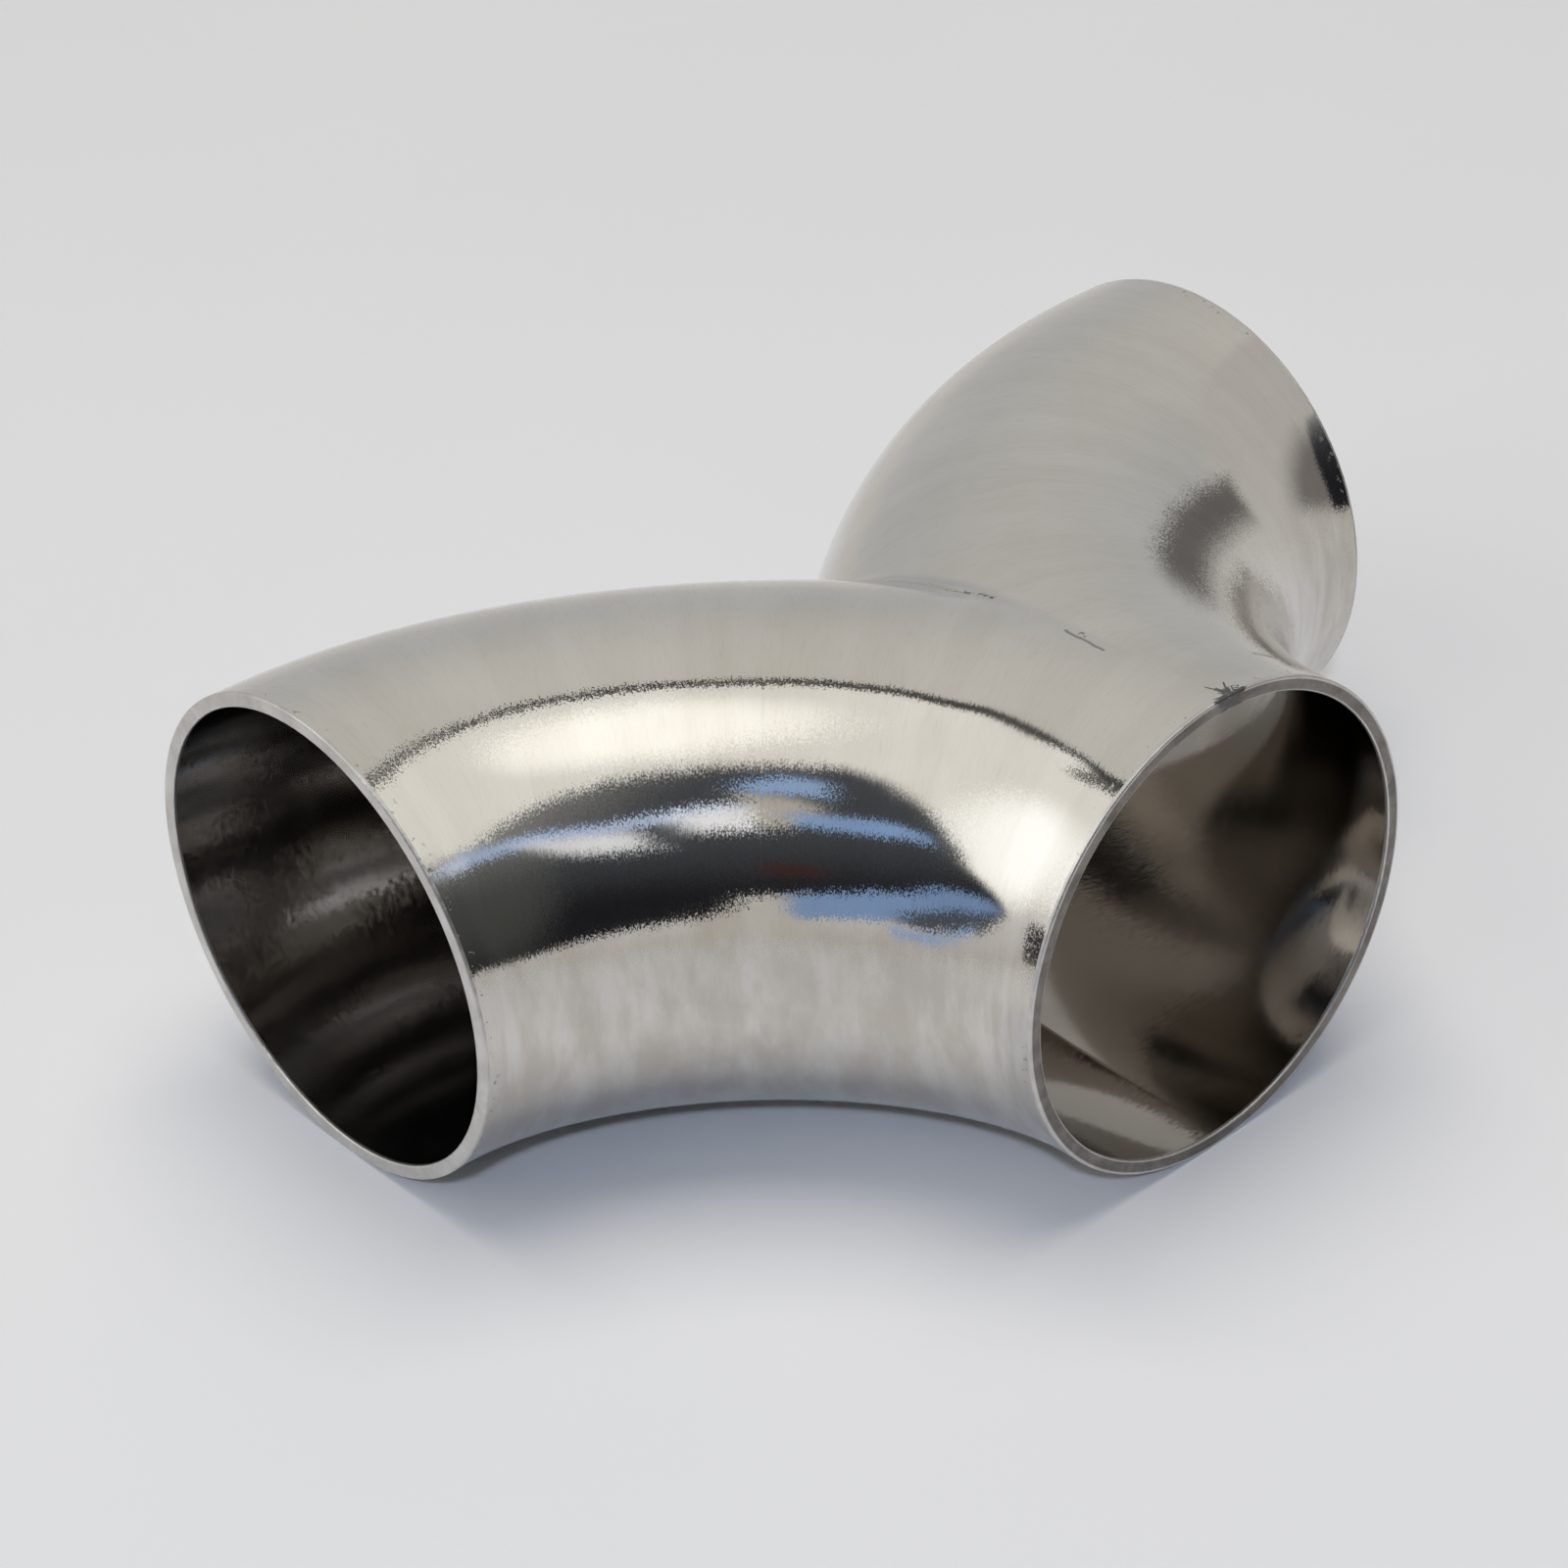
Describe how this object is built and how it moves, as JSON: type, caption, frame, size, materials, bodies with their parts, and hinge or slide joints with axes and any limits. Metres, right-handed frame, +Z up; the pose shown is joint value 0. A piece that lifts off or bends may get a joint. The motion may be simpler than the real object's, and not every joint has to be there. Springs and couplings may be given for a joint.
{
  "type": "butt weld wye",
  "caption": "Polished stainless wye fitting: mirrored quarter-circle tube bends joined in one common port, with plain square ends for butt welding.",
  "frame": {"origin": "on the surface the fitting lies on, below the middle of its overall box", "axes": "+X towards the right branch port, -Y out of the common port, +Z up, square to the plane of the three port axes"},
  "size_m": [0.121, 0.086, 0.051],
  "materials": {
    "polished_stainless": "polished"
  },
  "bodies": {
    "root": {"wye_body": "polished_stainless"}
  },
  "joints": []
}
